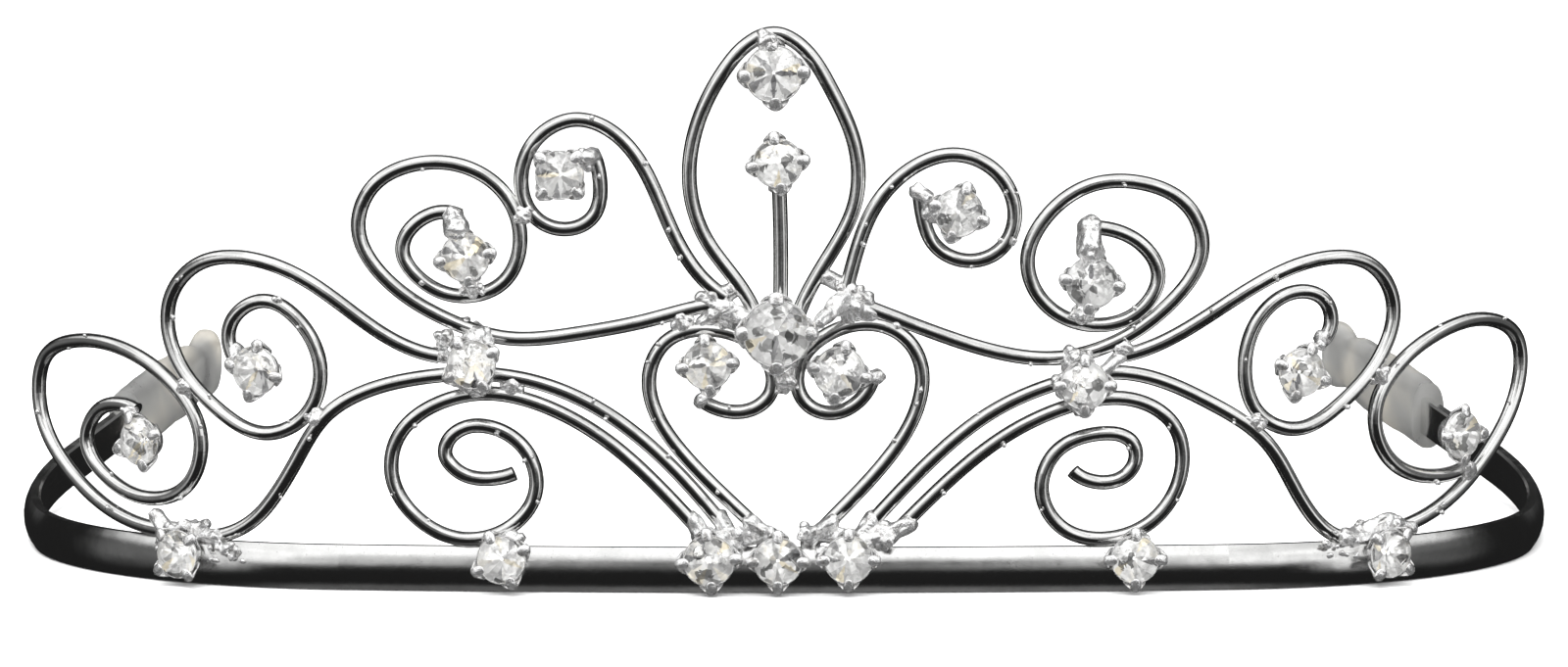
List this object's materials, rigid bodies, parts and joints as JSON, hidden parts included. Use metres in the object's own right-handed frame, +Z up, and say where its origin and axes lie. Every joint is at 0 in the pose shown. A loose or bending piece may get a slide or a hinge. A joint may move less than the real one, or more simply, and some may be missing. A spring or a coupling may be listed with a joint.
{
  "type": "bridal tiara",
  "caption": "Bridal tiara: springy D-section headband under a spray of scrolled plated wire with claw-set clear stones, and a clear comfort sleeve on each end.",
  "frame": {"origin": "under the middle of the bounding box, in the plane of the band's flat foot", "axes": "+X along the widest direction across the arms, towards the viewer's right; -Y towards the viewer; +Z up through the spray"},
  "size_m": [0.1434, 0.1252, 0.0487],
  "materials": {
    "band_plate": "bright silver-coloured plating with fine hairlines",
    "wire_plate": "bright silver-coloured plating over soldered wire",
    "cup_plate": "bright silver-coloured plating, slightly dull in the recesses",
    "stone": "clear foil-backed cut crystal",
    "clear_sleeve": "translucent soft plastic, slightly frosted"
  },
  "bodies": {
    "root": {"headband": "band_plate", "left_sleeve": "clear_sleeve", "right_sleeve": "clear_sleeve", "centre_leaf": "wire_plate", "centre_stem": "wire_plate", "left_heart_scroll": "wire_plate", "right_heart_scroll": "wire_plate", "left_inner_scroll": "wire_plate", "right_inner_scroll": "wire_plate", "left_upper_scroll": "wire_plate", "right_upper_scroll": "wire_plate", "left_side_scroll": "wire_plate", "right_side_scroll": "wire_plate", "left_end_scroll": "wire_plate", "right_end_scroll": "wire_plate", "left_arch": "wire_plate", "right_arch": "wire_plate", "left_lower_scroll": "wire_plate", "right_lower_scroll": "wire_plate", "tip_setting": "cup_plate", "stem_setting": "cup_plate", "centre_setting": "cup_plate", "band_centre_setting": "cup_plate", "left_heart_setting": "cup_plate", "right_heart_setting": "cup_plate", "left_inner_setting": "cup_plate", "right_inner_setting": "cup_plate", "left_upper_setting": "cup_plate", "right_upper_setting": "cup_plate", "left_junction_setting": "cup_plate", "right_junction_setting": "cup_plate", "left_side_setting": "cup_plate", "right_side_setting": "cup_plate", "left_end_scroll_setting": "cup_plate", "right_end_scroll_setting": "cup_plate", "left_band_end_setting": "cup_plate", "right_band_end_setting": "cup_plate", "left_band_mid_setting": "cup_plate", "right_band_mid_setting": "cup_plate", "left_band_side_setting": "cup_plate", "right_band_side_setting": "cup_plate", "tip_stone": "stone", "stem_stone": "stone", "centre_stone": "stone", "band_centre_stone": "stone", "heart_stones": "stone", "inner_stones": "stone", "upper_stones": "stone", "junction_stones": "stone", "side_stones": "stone", "end_scroll_stones": "stone", "band_end_stones": "stone", "band_mid_stones": "stone", "band_side_stones": "stone"}
  },
  "joints": []
}
